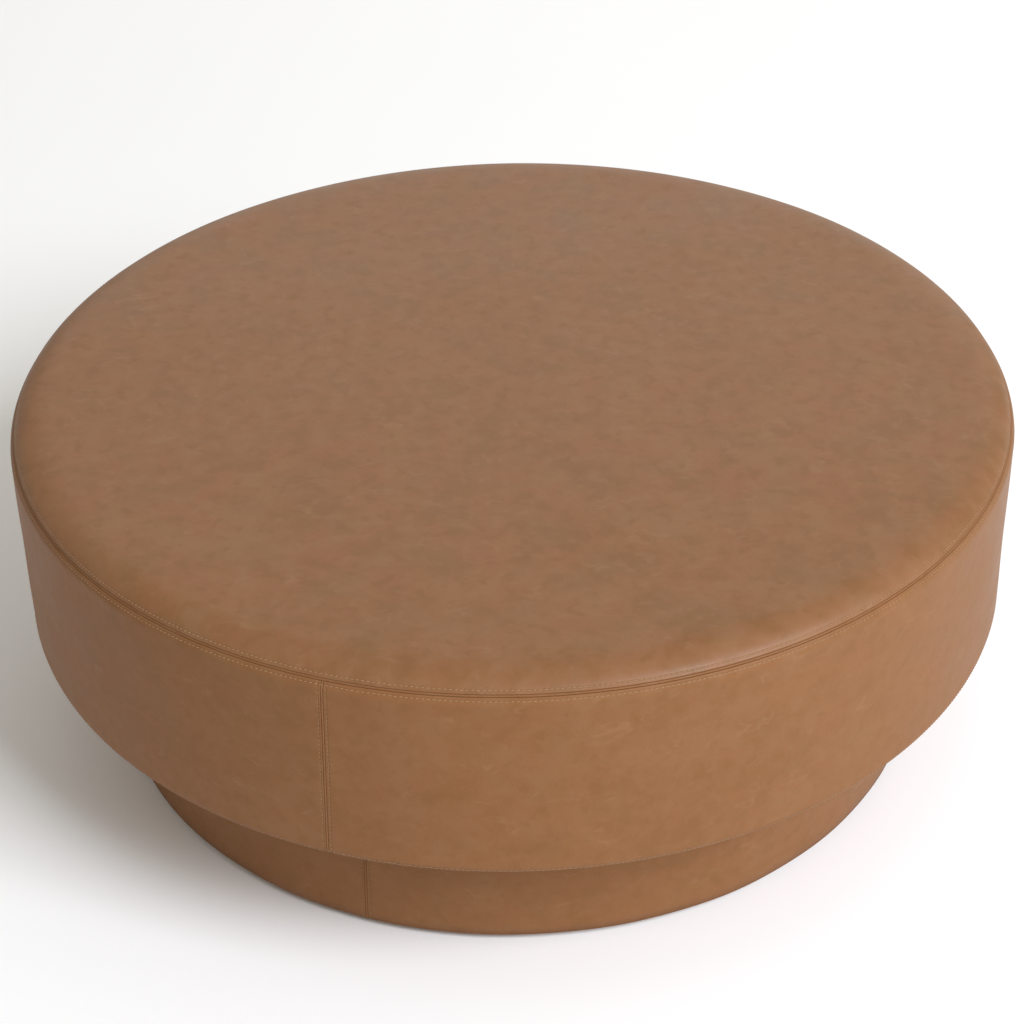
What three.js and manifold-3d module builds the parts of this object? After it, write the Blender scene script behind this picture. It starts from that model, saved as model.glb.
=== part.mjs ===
// A round leather ottoman: a wide, padded drum standing on a recessed round plinth.
// Both are plywood carcasses wrapped in bendable plywood, padding and stitched leather.
// Units are millimetres. +Z is up, the front is -Y, and the origin is the middle of the
// footprint at floor level. Angles run from the front towards +X, in degrees.
import * as THREE from "three";
import { mergeVertices } from "three/addons/utils/BufferGeometryUtils.js";
import Module from "manifold-3d";

// Driving dimensions
const DRUM_RADIUS = 610;
const DRUM_HEIGHT = 261;
const PLINTH_RADIUS = 510;
const TOTAL_HEIGHT = 457;
const CROWN_HEIGHT = 19; // how far the top stands above its edge seam
const SHOULDER_WIDTH = 40; // how far in from the edge seam the crown rolls over
const SEAM_INSET = 6; // how far the seams pull in from the bulge of the band
const SEAM_ANGLE = -20; // where the first upright seam stands
const PANELS = 3; // leather panels round the drum, and round the plinth
const LEATHER = 2; // leather with its interlining
const GAP = 0.3; // between pieces that touch
const BAND_LIFT = 1; // from the underside up to the band's lower edge
const BAND_BOTTOM_ROLL = 11; // height over which the band rolls in to its lower edge
const BAND_TOP_ROLL = 16; // height over which it leans in to the top seam

// Carcass
const BOARD = 18; // plywood thickness
const SKIN = 5; // bendable plywood thickness
const DRUM_BOARD_RADIUS = 585;
const DECK_TOP = 363.7; // upper face of the drum's top deck
const POST = 45; // square section of the softwood posts
const POST_INSET = 32; // from a board's edge to a post's middle
const DRUM_POSTS = 4;
const BETWEEN_RIBS = 45; // the angle of the first drum post, breather and bolt, clear of the crossed ribs
const PLINTH_POSTS = 6;
const FIRST_PLINTH_POST = 30; // the angle of the first plinth post, which has the first glide under it
const PLINTH_RING_BORE = 380; // inner radius of the plinth's two plywood rings
const RIB_LENGTH = 1120;
const BREATHER_RADIUS = 15;
const BREATHER_CIRCLE = 300;
const BREATHERS = 4;

// Padding
const FIBRE = 10; // polyester fibre over the seat foam
const FOAM_BEVEL = 11; // how far down the seat foam's edge is bevelled off
const FIBRE_SKIRT = 19; // how far the fibre hangs below the top seam
const PLINTH_WADDING = 2.5;
const WADDING_LIFT = 1.5; // from the plinth's lower ring up to its wadding

// Underside
const GLIDE_HEIGHT = 5;
const GLIDE_RADIUS = 15;
const GLIDE_BEVEL = 2;
const GLIDE_CIRCLE = 440;
const GLIDE_PIN_RADIUS = 1.5;
const GLIDE_PIN_LENGTH = 14;
const DUST_COVER = 1;
const DUST_COVER_RADIUS = 484;
const HEM_RADIUS = 466; // how far in the plinth leather is turned under
const UNDER_RING_BORE = 488; // inner radius of the drum's leather underside

// Bolts that hold the drum down on the plinth
const BOLTS = 4;
const BOLT_CIRCLE = 420;
const BOLT_RADIUS = 4;
const BOLT_LENGTH = 40;
const BOLT_HEAD_RADIUS = 7.5;
const BOLT_HEAD_HEIGHT = 5;
const BOLT_SOCKET_RADIUS = 2.9;
const BOLT_SOCKET_DEPTH = 3;
const WASHER_RADIUS = 12;
const WASHER = 1.5;
const TNUT_BARREL_RADIUS = 5.5;
const TNUT_BARREL_LENGTH = 11;
const TNUT_FLANGE_RADIUS = 11;
const TNUT_FLANGE = 1.6;

// How finely round things are made
const ROUND = 60; // facets round the drum and the plinth
const SMALL_ROUND = 12; // facets round hardware and holes
const SHOULDER_STEPS = 4;

// Levels, worked out from the driving dimensions
const drumBottom = TOTAL_HEIGHT - DRUM_HEIGHT;
const seamHeight = TOTAL_HEIGHT - CROWN_HEIGHT;
const seamRadius = DRUM_RADIUS - SEAM_INSET;
const shoulderStart = seamRadius - SHOULDER_WIDTH;
const dustCoverBottom = GLIDE_HEIGHT + GAP;
const hemBottom = dustCoverBottom + DUST_COVER + GAP;
const plinthBoardBottom = hemBottom + LEATHER + GAP;
const plinthBoardRadius = PLINTH_RADIUS - LEATHER - PLINTH_WADDING - SKIN - 3 * GAP;
const plinthTop = drumBottom - GAP;
const baseBoardBottom = drumBottom + LEATHER + GAP;
const baseBoardTop = baseBoardBottom + BOARD;
const deckBottom = DECK_TOP - BOARD;
const skinRadius = DRUM_BOARD_RADIUS + GAP + SKIN;
const bandInner = DRUM_RADIUS - LEATHER;
const foamTop = TOTAL_HEIGHT - LEATHER - FIBRE - 2 * GAP;
const sideFoamTop = seamHeight - FIBRE_SKIRT;

// Colours, one material for each finish
const finish = (color, roughness, metalness = 0) => new THREE.MeshStandardMaterial({ color, roughness, metalness });
const tanLeather = finish(0x996e4d, 0.5);
const foam = finish(0xe9dfae, 0.95);
const fibre = finish(0xf4f4f0, 0.95);
const plywood = finish(0xc9a676, 0.7);
const softwood = finish(0xd9bb8a, 0.7);
const bendablePly = finish(0xb98f62, 0.75);
const cambric = finish(0x1d1d1f, 0.9);
const nylon = finish(0x2a2622, 0.5);
const zincSteel = finish(0xb9bbb8, 0.35, 1);

// Solids: manifold-3d cuts and joins, three.js makes the shapes
const wasm = await Module();
wasm.setup();

function solidOf(geometry) {
  const bare = geometry.clone();
  bare.deleteAttribute("normal");
  bare.deleteAttribute("uv");
  const merged = mergeVertices(bare, 1e-4);
  return new wasm.Manifold(
    new wasm.Mesh({
      numProp: 3,
      vertProperties: merged.attributes.position.array,
      triVerts: new Uint32Array(merged.index.array),
    }),
  );
}

function geometryOf(solid) {
  const mesh = solid.getMesh();
  const geometry = new THREE.BufferGeometry();
  geometry.setAttribute("position", new THREE.BufferAttribute(mesh.vertProperties, 3));
  geometry.setIndex(new THREE.BufferAttribute(mesh.triVerts, 1));
  geometry.computeVertexNormals();
  return geometry;
}

// A closed profile of [radius, height] pairs, anticlockwise with the radius to the right, turned about Z.
function turned(profile, facets = ROUND) {
  const points = profile.map(([radius, height]) => new THREE.Vector2(radius, height));
  return new THREE.LatheGeometry(points, facets).rotateX(Math.PI / 2);
}

// The same, for a ring: the profile returns to its first point.
const turnedRing = (profile, facets = ROUND) => turned([...profile, profile[0]], facets);

// A flat disc or ring of board, with round holes through it at the places given.
function board(outer, bore, bottom, top, holes) {
  const outline = [
    [bore, bottom],
    [outer, bottom],
    [outer, top],
    [bore, top],
  ];
  const blank = solidOf(bore > 0 ? turnedRing(outline) : turned(outline));
  return geometryOf(
    holes.reduce((left, { x, y, radius }) => {
      const drill = new THREE.CylinderGeometry(radius, radius, 3 * BOARD, SMALL_ROUND);
      drill.rotateX(Math.PI / 2).translate(x, y, (bottom + top) / 2);
      return left.subtract(solidOf(drill));
    }, blank),
  );
}

// The place at an angle on a circle round the axis.
function onCircle(radius, angle) {
  const turn = THREE.MathUtils.degToRad(angle);
  return { x: radius * Math.sin(turn), y: -radius * Math.cos(turn) };
}

// Evenly spaced places on a circle, with the angle of each.
const around = (count, radius, firstAngle) =>
  Array.from({ length: count }, (_, i) => {
    const angle = firstAngle + (360 * i) / count;
    return { ...onCircle(radius, angle), angle };
  });

// The part of a ring between two angles, with half a gap left at each end.
function arcOf(ring, fromAngle, toAngle) {
  const halfTurn = (toAngle - fromAngle) / 2;
  const apex = onCircle(GAP / 2 / Math.sin(THREE.MathUtils.degToRad(halfTurn)), fromAngle + halfTurn);
  const reach = 4 * DRUM_RADIUS;
  const outline = new THREE.Shape();
  outline.moveTo(apex.x, apex.y);
  for (const share of [0, 0.5, 1, 1.5, 2]) {
    const corner = onCircle(reach, fromAngle + halfTurn * share);
    outline.lineTo(apex.x + corner.x, apex.y + corner.y);
  }
  const wedge = new THREE.ExtrudeGeometry(outline, { depth: TOTAL_HEIGHT, bevelEnabled: false });
  return geometryOf(solidOf(ring).intersect(solidOf(wedge)));
}

// Points down a quarter of an ellipse, from its level top to its upright side.
function shoulder(centreRadius, baseHeight, width, height) {
  return Array.from({ length: SHOULDER_STEPS + 1 }, (_, i) => {
    const turn = (Math.PI / 2) * (i / SHOULDER_STEPS);
    return [centreRadius + width * Math.sin(turn), baseHeight + height * Math.cos(turn)];
  });
}

const ottoman = new THREE.Group();

function add(parent, name, geometry, material) {
  const mesh = new THREE.Mesh(geometry, material);
  mesh.name = name;
  parent.add(mesh);
  return mesh;
}

// Leather cover of the drum: one top panel, three band panels and a flat ring underneath.
function drumCover() {
  const cover = new THREE.Group();
  const outside = shoulder(shoulderStart, seamHeight, SHOULDER_WIDTH, CROWN_HEIGHT);
  const inside = shoulder(shoulderStart, seamHeight, SHOULDER_WIDTH - LEATHER, CROWN_HEIGHT - LEATHER);
  const top = [[0, TOTAL_HEIGHT - LEATHER], ...inside, ...outside.reverse(), [0, TOTAL_HEIGHT]];
  add(cover, "top_panel", turned(top), tanLeather);

  const edge = seamHeight - GAP;
  const lower = drumBottom + BAND_LIFT;
  const band = [
    [seamRadius + 1, lower],
    [DRUM_RADIUS - 1, lower + 0.4 * BAND_BOTTOM_ROLL],
    [DRUM_RADIUS, lower + BAND_BOTTOM_ROLL],
    [DRUM_RADIUS, edge - BAND_TOP_ROLL],
    [DRUM_RADIUS - 1, edge - 0.45 * BAND_TOP_ROLL],
    [seamRadius, edge],
    [seamRadius - 0.7 * LEATHER, edge - 0.8 * LEATHER],
    [bandInner - 1, edge - 0.5 * BAND_TOP_ROLL],
    [bandInner, edge - BAND_TOP_ROLL],
    [bandInner, lower + BAND_BOTTOM_ROLL],
    [bandInner - 1, lower + 0.5 * BAND_BOTTOM_ROLL],
    [seamRadius - 0.2 * LEATHER, lower + 0.8 * LEATHER],
  ];
  const ring = turnedRing(band);
  const step = 360 / PANELS;
  for (let i = 0; i < PANELS; i += 1) {
    const from = SEAM_ANGLE + i * step;
    add(cover, `band_panel_${i + 1}`, arcOf(ring, from, from + step), tanLeather);
  }

  const under = [
    [UNDER_RING_BORE, drumBottom],
    [seamRadius, drumBottom],
    [seamRadius, drumBottom + LEATHER],
    [UNDER_RING_BORE, drumBottom + LEATHER],
  ];
  add(cover, "underside_ring", turnedRing(under), tanLeather);
  return cover;
}

// Padding of the drum: a foam slab on the deck, foam round the wall, and fibre over the top.
function drumPadding() {
  const padding = new THREE.Group();
  const softEdge = foamTop - FOAM_BEVEL;
  const slab = [
    [0, DECK_TOP + GAP],
    [skinRadius, DECK_TOP + GAP],
    [skinRadius, softEdge],
    [shoulderStart, foamTop],
    [0, foamTop],
  ];
  add(padding, "seat_foam", turned(slab), foam);

  const wrapInner = skinRadius + GAP;
  const wrapOuter = bandInner - 0.5;
  const wrap = [
    [wrapInner, baseBoardBottom],
    [wrapOuter - SEAM_INSET, baseBoardBottom + 2 * GAP],
    [wrapOuter - 1.5, baseBoardBottom + 0.45 * BAND_BOTTOM_ROLL],
    [wrapOuter, baseBoardBottom + BAND_BOTTOM_ROLL],
    [wrapOuter, sideFoamTop],
    [wrapInner, sideFoamTop],
  ];
  const ring = turnedRing(wrap);
  ["left", "right"].forEach((side, i) => {
    const from = 180 + 180 * i;
    add(padding, `side_foam_${side}`, arcOf(ring, from, from + 180), foam);
  });

  const fibreTop = TOTAL_HEIGHT - LEATHER - GAP;
  const roll = shoulder(shoulderStart, seamHeight, SHOULDER_WIDTH - LEATHER - 0.6, fibreTop - seamHeight);
  const fibreLayer = [
    [0, foamTop + GAP],
    [shoulderStart, foamTop + GAP],
    [wrapInner, softEdge + GAP],
    [wrapInner, sideFoamTop + GAP],
    [wrapOuter, sideFoamTop + GAP],
    [wrapOuter - 1, seamHeight - 0.55 * BAND_TOP_ROLL],
    ...roll.reverse(),
    [0, fibreTop],
  ];
  add(padding, "fibre_wrap", turned(fibreLayer), fibre);
  return padding;
}

// A straight rib on edge, with a half-lap slot at its middle: from above or from below.
function rib(slotFromAbove) {
  const low = baseBoardTop + GAP;
  const high = deckBottom - GAP;
  const middle = (low + high) / 2;
  const half = RIB_LENGTH / 2;
  const slot = BOARD / 2 + GAP;
  const notch = [
    [slot, slotFromAbove ? high : low],
    [slot, middle + (slotFromAbove ? -GAP : GAP)],
    [-slot, middle + (slotFromAbove ? -GAP : GAP)],
    [-slot, slotFromAbove ? high : low],
  ];
  const outline = slotFromAbove
    ? [[-half, low], [half, low], [half, high], ...notch, [-half, high]]
    : [[-half, low], ...notch.reverse(), [half, low], [half, high], [-half, high]];
  const shape = new THREE.Shape(outline.map(([x, z]) => new THREE.Vector2(x, z)));
  const blank = new THREE.ExtrudeGeometry(shape, { depth: BOARD, bevelEnabled: false });
  return blank.translate(0, 0, -BOARD / 2).rotateX(Math.PI / 2);
}

// Square posts between two levels, spaced round a circle and turned to face the axis.
function posts(parent, name, count, radius, firstAngle, low, high) {
  const height = high - low - 2 * GAP;
  around(count, radius, firstAngle).forEach(({ x, y, angle }, i) => {
    const post = add(parent, `${name}_${i + 1}`, new THREE.BoxGeometry(POST, POST, height), softwood);
    post.position.set(x, y, (low + high) / 2);
    post.rotation.z = THREE.MathUtils.degToRad(angle);
  });
}

// A skin of bendable plywood in two halves round a carcass.
function skins(parent, name, boardRadius, bottom, top) {
  const ring = turnedRing([
    [boardRadius + GAP, bottom],
    [boardRadius + GAP + SKIN, bottom],
    [boardRadius + GAP + SKIN, top],
    [boardRadius + GAP, top],
  ]);
  ["front", "back"].forEach((side, i) => {
    const from = -90 + 180 * i;
    add(parent, `${name}_${side}`, arcOf(ring, from, from + 180), bendablePly);
  });
}

const glidePlaces = around(PLINTH_POSTS, GLIDE_CIRCLE, FIRST_PLINTH_POST);
const pinHoles = glidePlaces.map((place) => ({ ...place, radius: GLIDE_PIN_RADIUS + GAP }));
const boltPlaces = around(BOLTS, BOLT_CIRCLE, BETWEEN_RIBS);

// Carcass of the drum: base board, crossed ribs, posts, top deck and skin.
function drumFrame() {
  const frame = new THREE.Group();
  const nutHoles = boltPlaces.map((place) => ({ ...place, radius: TNUT_BARREL_RADIUS + GAP }));
  add(frame, "base_board", board(DRUM_BOARD_RADIUS, 0, baseBoardBottom, baseBoardTop, nutHoles), plywood);
  add(frame, "long_rib", rib(true), plywood);
  add(frame, "cross_rib", rib(false), plywood).rotation.z = Math.PI / 2;
  posts(frame, "drum_post", DRUM_POSTS, DRUM_BOARD_RADIUS - POST_INSET, BETWEEN_RIBS, baseBoardTop, deckBottom);
  const breathers = around(BREATHERS, BREATHER_CIRCLE, BETWEEN_RIBS).map((place) => ({
    ...place,
    radius: BREATHER_RADIUS,
  }));
  add(frame, "top_deck", board(DRUM_BOARD_RADIUS, 0, deckBottom, DECK_TOP, breathers), plywood);
  skins(frame, "drum_skin", DRUM_BOARD_RADIUS, baseBoardBottom, DECK_TOP);
  return frame;
}

// Carcass of the plinth: two plywood rings, posts between them, and a skin.
function plinthFrame() {
  const frame = new THREE.Group();
  const boltHoles = boltPlaces.map((place) => ({ ...place, radius: BOLT_RADIUS + 2 * GAP }));
  const lowerTop = plinthBoardBottom + BOARD;
  const upperBottom = plinthTop - BOARD;
  const ring = (bottom, top, holes) => board(plinthBoardRadius, PLINTH_RING_BORE, bottom, top, holes);
  add(frame, "plinth_lower_ring", ring(plinthBoardBottom, lowerTop, pinHoles), plywood);
  add(frame, "plinth_upper_ring", ring(upperBottom, plinthTop, boltHoles), plywood);
  posts(frame, "plinth_post", PLINTH_POSTS, plinthBoardRadius - POST_INSET, FIRST_PLINTH_POST, lowerTop, upperBottom);
  skins(frame, "plinth_skin", plinthBoardRadius, plinthBoardBottom, plinthTop);
  return frame;
}

// Leather and wadding of the plinth, with the leather turned under its lower edge.
function plinthCover() {
  const cover = new THREE.Group();
  const inner = PLINTH_RADIUS - LEATHER;
  const leatherRing = turnedRing([
    [HEM_RADIUS, hemBottom],
    [PLINTH_RADIUS - 3, hemBottom],
    [PLINTH_RADIUS - 0.7, hemBottom + 1],
    [PLINTH_RADIUS, hemBottom + 3.5],
    [PLINTH_RADIUS, plinthTop],
    [inner, plinthTop],
    [inner, hemBottom + 3.5],
    [inner - 1.2, hemBottom + LEATHER],
    [HEM_RADIUS, hemBottom + LEATHER],
  ]);
  const step = 360 / PANELS;
  for (let i = 0; i < PANELS; i += 1) {
    const from = SEAM_ANGLE + i * step;
    add(cover, `plinth_panel_${i + 1}`, arcOf(leatherRing, from, from + step), tanLeather);
  }
  const waddingBottom = plinthBoardBottom + WADDING_LIFT;
  const waddingRing = turnedRing([
    [inner - GAP - PLINTH_WADDING, waddingBottom],
    [inner - GAP, waddingBottom],
    [inner - GAP, plinthTop],
    [inner - GAP - PLINTH_WADDING, plinthTop],
  ]);
  ["left", "right"].forEach((side, i) => {
    const from = 180 + 180 * i;
    add(cover, `plinth_wadding_${side}`, arcOf(waddingRing, from, from + 180), fibre);
  });
  return cover;
}

// Black cambric under the plinth, with a hole for each glide's pin.
const dustCover = () => board(DUST_COVER_RADIUS, 0, dustCoverBottom, dustCoverBottom + DUST_COVER, pinHoles);

// Nylon glides pinned up through the dust cover into the lower ring.
function glides() {
  const group = new THREE.Group();
  const profile = [
    [0, 0],
    [GLIDE_RADIUS - GLIDE_BEVEL, 0],
    [GLIDE_RADIUS, GLIDE_BEVEL],
    [GLIDE_RADIUS, GLIDE_HEIGHT],
    [GLIDE_PIN_RADIUS, GLIDE_HEIGHT],
    [GLIDE_PIN_RADIUS, GLIDE_HEIGHT + GLIDE_PIN_LENGTH - GLIDE_BEVEL],
    [0, GLIDE_HEIGHT + GLIDE_PIN_LENGTH],
  ];
  glidePlaces.forEach(({ x, y }, i) => {
    add(group, `glide_${i + 1}`, turned(profile, SMALL_ROUND), nylon).position.set(x, y, 0);
  });
  return group;
}

// A socket-headed bolt, head down, with its seat at height 0 and its thread pointing up.
function bolt() {
  const body = solidOf(
    turned(
      [
        [0, -BOLT_HEAD_HEIGHT],
        [0.7 * BOLT_HEAD_RADIUS, -BOLT_HEAD_HEIGHT],
        [BOLT_HEAD_RADIUS, -0.3 * BOLT_HEAD_HEIGHT],
        [BOLT_HEAD_RADIUS, 0],
        [BOLT_RADIUS, 0],
        [BOLT_RADIUS, BOLT_LENGTH - 1],
        [BOLT_RADIUS - 1, BOLT_LENGTH],
        [0, BOLT_LENGTH],
      ],
      SMALL_ROUND,
    ),
  );
  const socket = new THREE.CylinderGeometry(BOLT_SOCKET_RADIUS, BOLT_SOCKET_RADIUS, 2 * BOLT_SOCKET_DEPTH, 6);
  socket.rotateX(Math.PI / 2);
  return geometryOf(body.subtract(solidOf(socket.translate(0, 0, -BOLT_HEAD_HEIGHT))));
}

// A T-nut whose flange rests at height 0 and whose barrel hangs below it.
function tNut() {
  const bore = BOLT_RADIUS + GAP;
  return turnedRing(
    [
      [bore, -TNUT_BARREL_LENGTH],
      [TNUT_BARREL_RADIUS, -TNUT_BARREL_LENGTH],
      [TNUT_BARREL_RADIUS, 0],
      [TNUT_FLANGE_RADIUS, 0],
      [TNUT_FLANGE_RADIUS, TNUT_FLANGE],
      [bore, TNUT_FLANGE],
    ],
    SMALL_ROUND,
  );
}

// The bolts with their washers and T-nuts, clamping the drum's base board to the plinth.
function hardware() {
  const group = new THREE.Group();
  const washerTop = plinthTop - BOARD - GAP;
  const washer = [
    [BOLT_RADIUS + GAP, -WASHER],
    [WASHER_RADIUS, -WASHER],
    [WASHER_RADIUS, 0],
    [BOLT_RADIUS + GAP, 0],
  ];
  boltPlaces.forEach(({ x, y }, i) => {
    const seat = washerTop - WASHER - GAP;
    add(group, `bolt_${i + 1}`, bolt(), zincSteel).position.set(x, y, seat);
    add(group, `washer_${i + 1}`, turnedRing(washer, SMALL_ROUND), zincSteel).position.set(x, y, washerTop);
    add(group, `t_nut_${i + 1}`, tNut(), zincSteel).position.set(x, y, baseBoardTop + GAP);
  });
  return group;
}

ottoman.add(drumCover(), drumPadding(), drumFrame(), plinthFrame(), plinthCover(), glides(), hardware());
add(ottoman, "dust_cover", dustCover(), cambric);

export default ottoman;
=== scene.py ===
"""The looks of a round leather ottoman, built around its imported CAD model.

A wide, padded drum stands on a recessed round plinth. Every leather panel is a surface worked out on
a grid: a path of [radius, height] points is turned about Z, and the leather is drawn in towards the
path's inside by the depth of its seams, its stitch grooves and its ripples. Lengths are in metres,
angles run from the front (-Y) towards +X, and every piece's object stays at the origin.
"""

import math

import bpy
import numpy as np
from bpy.props import FloatProperty, FloatVectorProperty, PointerProperty
from mathutils import Matrix, Vector


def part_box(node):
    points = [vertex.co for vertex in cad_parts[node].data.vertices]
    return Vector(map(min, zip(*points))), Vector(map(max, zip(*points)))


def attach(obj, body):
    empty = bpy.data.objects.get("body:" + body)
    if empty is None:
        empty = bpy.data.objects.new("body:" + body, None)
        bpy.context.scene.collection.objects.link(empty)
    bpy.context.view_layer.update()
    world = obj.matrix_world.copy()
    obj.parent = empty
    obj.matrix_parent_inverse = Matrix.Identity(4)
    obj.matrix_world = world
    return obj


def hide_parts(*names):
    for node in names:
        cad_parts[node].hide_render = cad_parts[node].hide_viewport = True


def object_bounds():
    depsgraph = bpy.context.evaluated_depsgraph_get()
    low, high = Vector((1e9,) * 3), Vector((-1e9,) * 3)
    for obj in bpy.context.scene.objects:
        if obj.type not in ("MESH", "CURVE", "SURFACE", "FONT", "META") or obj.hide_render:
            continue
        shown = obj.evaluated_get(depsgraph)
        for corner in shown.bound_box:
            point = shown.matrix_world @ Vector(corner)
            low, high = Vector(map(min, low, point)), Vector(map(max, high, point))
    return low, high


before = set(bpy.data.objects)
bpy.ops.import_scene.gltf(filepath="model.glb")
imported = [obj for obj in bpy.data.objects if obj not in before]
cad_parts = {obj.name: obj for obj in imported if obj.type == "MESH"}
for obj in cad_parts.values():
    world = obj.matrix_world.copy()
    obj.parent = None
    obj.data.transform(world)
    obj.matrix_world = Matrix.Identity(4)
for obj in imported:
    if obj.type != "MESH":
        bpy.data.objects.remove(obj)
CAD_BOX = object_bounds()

bl_info = {
    "name": "Round Leather Ottoman",
    "version": (1, 0, 0),
    "blender": (4, 5, 0),
    "location": "View3D > Sidebar > Ottoman",
    "description": "Builds the leather, stitching, padding and finishes of a round ottoman",
    "category": "Add Mesh",
}

MM = 0.001
FULL_TURN = 2 * math.pi
QUARTER_TURN = math.pi / 2
BODY = "root"
GLIDES = 6
STAPLES = 84
PANELS = 3
SEAM_TURNS = [math.radians(-20) + i * FULL_TURN / PANELS for i in range(PANELS)]  # the upright seams
SEAM_LEAN = 0.054  # how far an upright seam leans, in radians round the axis for each metre of height
LEAN_LEVEL = 0.293  # the height at which a leaning seam is at its own angle
SEAM_GAP = 0.2 * MM  # from the end of a path to the leather's edge
RIM_STEPS = 720  # columns round the pieces that run the whole way round
INNER_STEP = 4  # rows of an outer surface for each row of the inner one
RIPPLE_CREST = 1.6  # ripples seldom rise above this many times their height


# ---------------------------------------------------------------- sizes taken from the frame


def low(node):
    """The lowest corner of a CAD node."""
    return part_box(node)[0]


def high(node):
    """The highest corner of a CAD node."""
    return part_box(node)[1]


DRUM_RADIUS = CAD_BOX[1].x
TOP = CAD_BOX[1].z
SEAM_RADIUS = high("top_panel").x + 0.8 * MM
SEAM_HEIGHT = low("top_panel").z + 0.3 * MM
DRUM_BOTTOM = low("underside_ring").z
PLINTH_RADIUS = max(high(f"plinth_panel_{i + 1}").x for i in range(PANELS))
PLINTH_TOP = high("plinth_panel_1").z
HEM_BOTTOM = low("plinth_panel_1").z
DUST_COVER_RADIUS = high("dust_cover").x


# ---------------------------------------------------------------- settings a user would change

LENGTH = {"subtype": "DISTANCE", "unit": "LENGTH"}
ANGLE = {"subtype": "ANGLE", "unit": "ROTATION"}
COLOUR = {"subtype": "COLOR", "min": 0, "max": 1}


class OttomanLeather(bpy.types.PropertyGroup):
    """The leather's colours and body."""

    tan: FloatVectorProperty(
        name="Tan", description="Main colour of the leather", default=(0.227, 0.102, 0.0415), **COLOUR
    )
    umber: FloatVectorProperty(
        name="Umber", description="Colour of its darker patches", default=(0.195, 0.0875, 0.0305), **COLOUR
    )
    honey: FloatVectorProperty(
        name="Honey", description="Colour of its worn, lighter patches",
        default=(0.241, 0.117, 0.052), **COLOUR,
    )
    thickness: FloatProperty(
        name="Thickness", description="Leather with its interlining", default=1.8 * MM, **LENGTH
    )
    shoulder_width: FloatProperty(
        name="Shoulder width", description="How far in from its side the crown starts to roll over",
        default=42 * MM, **LENGTH,
    )
    ripple: FloatProperty(
        name="Ripple", description="Height of the slow waves in the covers", default=0.5 * MM, **LENGTH
    )


class OttomanSewing(bpy.types.PropertyGroup):
    """The seams and their stitches."""

    pitch: FloatProperty(
        name="Stitch pitch", description="From one stitch to the next", default=5.8 * MM, **LENGTH
    )
    stitch_length: FloatProperty(
        name="Stitch length", description="How much of a stitch shows", default=3.7 * MM, **LENGTH
    )
    thread: FloatProperty(name="Thread", description="Thickness of the thread", default=0.95 * MM, **LENGTH)
    row: FloatProperty(
        name="Row distance", description="From a level seam's middle to its stitches",
        default=5.9 * MM, **LENGTH,
    )
    upright_row: FloatProperty(
        name="Upright row distance", description="From an upright seam's middle to its stitches",
        default=4.7 * MM, **LENGTH,
    )
    groove: FloatProperty(
        name="Groove depth", description="How far the stitches pull the leather in",
        default=0.45 * MM, **LENGTH,
    )
    roll: FloatProperty(
        name="Edge roll", description="Radius of the leather's rolled edges at a seam",
        default=1.0 * MM, **LENGTH,
    )
    welt: FloatProperty(
        name="Welt", description="Width of the strip sewn into the double seams",
        default=2.8 * MM, **LENGTH,
    )
    colour: FloatVectorProperty(
        name="Thread colour", description="Colour of the top seam's thread",
        default=(0.43, 0.255, 0.13), **COLOUR,
    )
    quiet_colour: FloatVectorProperty(
        name="Quiet thread colour", description="Colour of the other seams' thread",
        default=(0.355, 0.195, 0.086), **COLOUR,
    )


class OttomanStage(bpy.types.PropertyGroup):
    """The floor, the lights and the camera."""

    floor_colour: FloatVectorProperty(
        name="Floor", description="Colour of the floor", default=(0.94, 0.94, 0.94), **COLOUR
    )
    room_light: FloatProperty(
        name="Room light", description="Strength of the light from all round", subtype="FACTOR", default=0.51
    )
    key_light: FloatProperty(
        name="Key light", description="Power of the softbox at the front right", unit="POWER", default=710
    )
    back_light: FloatProperty(
        name="Back light", description="Power of the wide softbox behind", unit="POWER", default=43
    )
    lens: FloatProperty(
        name="Lens", description="Focal length of the camera, in millimetres", unit="CAMERA", default=87.24
    )
    distance: FloatProperty(
        name="Camera distance", description="From the middle of the footprint", default=3.2968, **LENGTH
    )
    elevation: FloatProperty(
        name="Camera elevation", description="Above the horizon", default=math.radians(37.89), **ANGLE
    )
    tilt: FloatProperty(
        name="Camera tilt", description="How far the camera looks down", default=math.radians(34.36), **ANGLE
    )
    roll: FloatProperty(
        name="Camera roll", description="How far the camera is turned about its own axis",
        default=math.radians(-1.25), **ANGLE,
    )


def user_settings():
    """The settings for the leather and for the sewing."""
    scene = bpy.context.scene
    return scene.ottoman_leather, scene.ottoman_sewing


# ---------------------------------------------------------------- arithmetic on paths and grids


def as_points(*coordinates):
    """Points whose coordinates are numbers or arrays that fit one another."""
    return np.stack(np.broadcast_arrays(*coordinates), axis=-1)


def from_above(radius, angle):
    """Where a radius and an angle from the front lie, seen from above: x is the radius times the angle's
    sine, and y is minus the radius times its cosine."""
    return radius * np.sin(angle), -radius * np.cos(angle)


def polar(radius, angle, height):
    """Points [x, y, z] at a radius and an angle from the front."""
    return as_points(*from_above(radius, angle), height)


def around(steps):
    """The angles of equal steps round a full turn."""
    return np.arange(steps) * FULL_TURN / steps


def leaning(angle, height):
    """The angle at a height beside an upright seam, which leans a little: it grows with the height."""
    return angle + SEAM_LEAN * (height - LEAN_LEVEL)


def fade(distance, width):
    """A share that grows evenly from 0 to 1 over a width."""
    return np.clip(distance / width, 0, 1)


def running_length(path):
    """The length along a path of points up to each of them: the running sum of the steps' lengths."""
    steps = np.linalg.norm(np.diff(path, axis=0), axis=1)
    return np.concatenate([[0.0], np.cumsum(steps)])


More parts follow.
